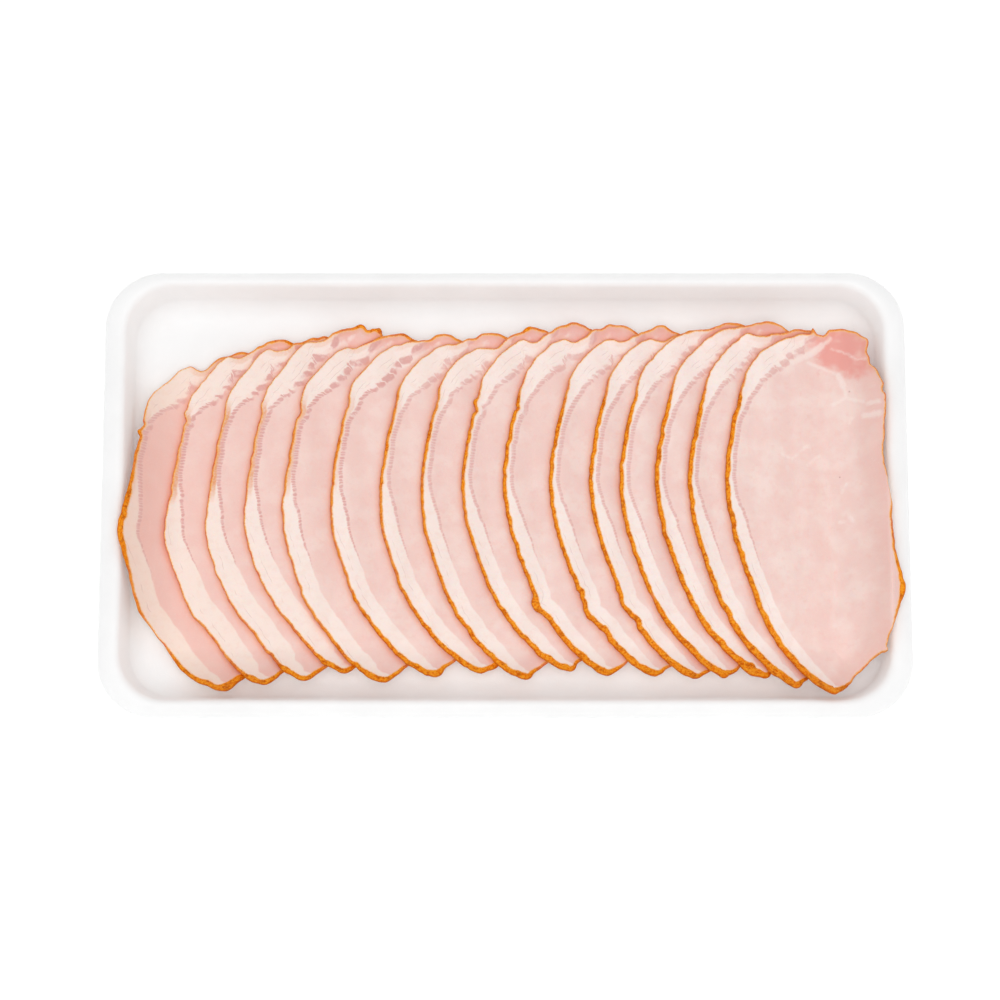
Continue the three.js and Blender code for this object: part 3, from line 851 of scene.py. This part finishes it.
    # Rind: a golden thread where it's thin, and orange with a darker outside where it's thick.
    depth = shaken(shaken(rind_depth, small, 0.6), fine, 0.35)
    thick = g.between(g.math("ADD", rind_depth, gap), 0.55, 1.2)
    colour = g.mix(g.between(depth, -0.5, 0.05, 0.0, 0.8), colour, RIND_GOLD)
    rind = g.mix(g.between(small, 0.35, 0.6), RIND, RIND_BRIGHT)
    rind = g.mix(g.between(medium, 0.5, 0.62, 0.0, 0.6), rind, RIND_DARK)
    rind = g.mix(g.between(fine, 0.52, 0.68, 0.0, 0.55), rind, RIND_DARK)
    rind = g.mix(g.between(g.noise(cut, 26.0, 2.0), 0.6, 0.7, 0.0, 0.5), rind, RIND_GOLD)
    outer = g.between(shaken(gap, medium, 1.4), 0.6, 0.05, 0.0, 0.45)
    rind = g.mix(outer, rind, RIND_DARK)
    thread = g.mix(g.between(medium, 0.42, 0.6), RIND_THREAD, RIND_SKIN)
    thread = g.mix(g.between(fine, 0.5, 0.66, 0.0, 0.6), thread, RIND_FLECK)
    rind = g.mix(thick, thread, rind)
    on_rind = g.between(depth, -0.1, 0.15)
    colour = g.mix(on_rind, colour, rind)

    g.set(Base_Color=colour, Roughness=g.between(medium, 0.3, 0.7, 0.38, 0.55),
          Specular_IOR_Level=g.between(on_rind, 0, 1, 0.35, 0.06),
          Subsurface_Weight=g.between(on_rind, 0, 1, 0.15, 0.0),
          Subsurface_Radius=(1.0, 0.4, 0.25), Subsurface_Scale=0.0008)
    grain = g.math("MULTIPLY_ADD", fine, 0.4, small)
    g.set(Normal=g.bump(grain, 0.00012, 0.4))
    return g.material


# Neither the foam nor the floor gives off light. The glow stands in for the flat light of a
# white studio.
FOAM_GLOW = 0.08
FLOOR_GLOW = 0.22
BEADS_PER_METRE = 520


def foam_material():
    g = Graph("foam")
    place = g.node("ShaderNodeTexCoord").outputs["Object"]
    beads = g.node("ShaderNodeTexVoronoi", feature="DISTANCE_TO_EDGE")
    beads.inputs["Scale"].default_value = BEADS_PER_METRE
    g.feed(beads.inputs["Vector"], place)
    seam = g.between(beads.outputs["Distance"], 0.0, 0.12)
    cloud = g.noise(place, 60.0, 3.0)
    g.set(Base_Color=g.mix(g.between(cloud, 0.3, 0.7), FOAM_SHADE, FOAM_WHITE),
          Roughness=0.55, Subsurface_Weight=0.7, Subsurface_Radius=(1.0, 1.0, 1.0),
          Subsurface_Scale=0.007, Emission_Color=WHITE, Emission_Strength=FOAM_GLOW)
    g.set(Normal=g.bump(seam, 0.00003, 0.35))
    return g.material


def floor_material():
    g = Graph("floor")
    g.set(Base_Color=(0.93, 0.93, 0.93, 1), Roughness=0.8, Specular_IOR_Level=0.2,
          Emission_Color=WHITE, Emission_Strength=FLOOR_GLOW)
    return g.material


# ---------- floor, light and camera ----------

FLOOR_REACH = 6.0
WORLD_STRENGTH = 0.62
KEY_PLACE = (0, -0.35, 1.58)
KEY_SIZE = 1.2
KEY_WATTS = 10.8


def make_floor():
    mesh = bpy.data.meshes.new("floor")
    corners = [(x * FLOOR_REACH, y * FLOOR_REACH, 0)
               for x, y in ((-1, -1), (1, -1), (1, 1), (-1, 1))]
    mesh.from_pydata(corners, [], [(0, 1, 2, 3)])
    mesh.materials.append(floor_material())
    floor = bpy.data.objects.new("floor", mesh)
    bpy.context.scene.collection.objects.link(floor)


def aim(thing, place, target):
    thing.location = place
    thing.rotation_euler = (Vector(target) - Vector(place)).to_track_quat("-Z", "Y").to_euler()


def area_light(name, place, size, power):
    light = bpy.data.lights.new(name, "AREA")
    light.shape = "SQUARE"
    light.size = size
    light.energy = power
    lamp = bpy.data.objects.new(name, light)
    bpy.context.scene.collection.objects.link(lamp)
    aim(lamp, place, (0, 0, 0))


def make_light():
    world = bpy.data.worlds.new("studio")
    world.use_nodes = True
    background = world.node_tree.nodes["Background"]
    background.inputs["Color"].default_value = WHITE
    background.inputs["Strength"].default_value = WORLD_STRENGTH
    bpy.context.scene.world = world
    area_light("key", KEY_PLACE, KEY_SIZE, KEY_WATTS)


CAMERA_DISTANCE = 1.1
CAMERA_ELEVATION = 78.0
FRAME_WIDTH = 333.0 * MM
FRAME_MIDDLE = (-1.7, -3.5, TRAY_HEIGHT)
SENSOR_WIDTH = 36.0


def make_camera():
    data = bpy.data.cameras.new("camera")
    camera = bpy.data.objects.new("camera", data)
    bpy.context.scene.collection.objects.link(camera)
    data.sensor_width = SENSOR_WIDTH
    data.lens = SENSOR_WIDTH * CAMERA_DISTANCE / FRAME_WIDTH
    rise = math.radians(CAMERA_ELEVATION)
    target = Vector(FRAME_MIDDLE) * MM
    back = Vector((0, -math.cos(rise), math.sin(rise)))
    aim(camera, target + back * CAMERA_DISTANCE, target)
    bpy.context.scene.camera = camera


# ---------- the whole ----------

make_camera()
make_light()
make_floor()
bpy.context.scene.view_settings.view_transform = "Standard"

make_tray(foam_material())
MEAT = meat_material()
for number in range(len(SLICES)):
    make_slice(number, MEAT)
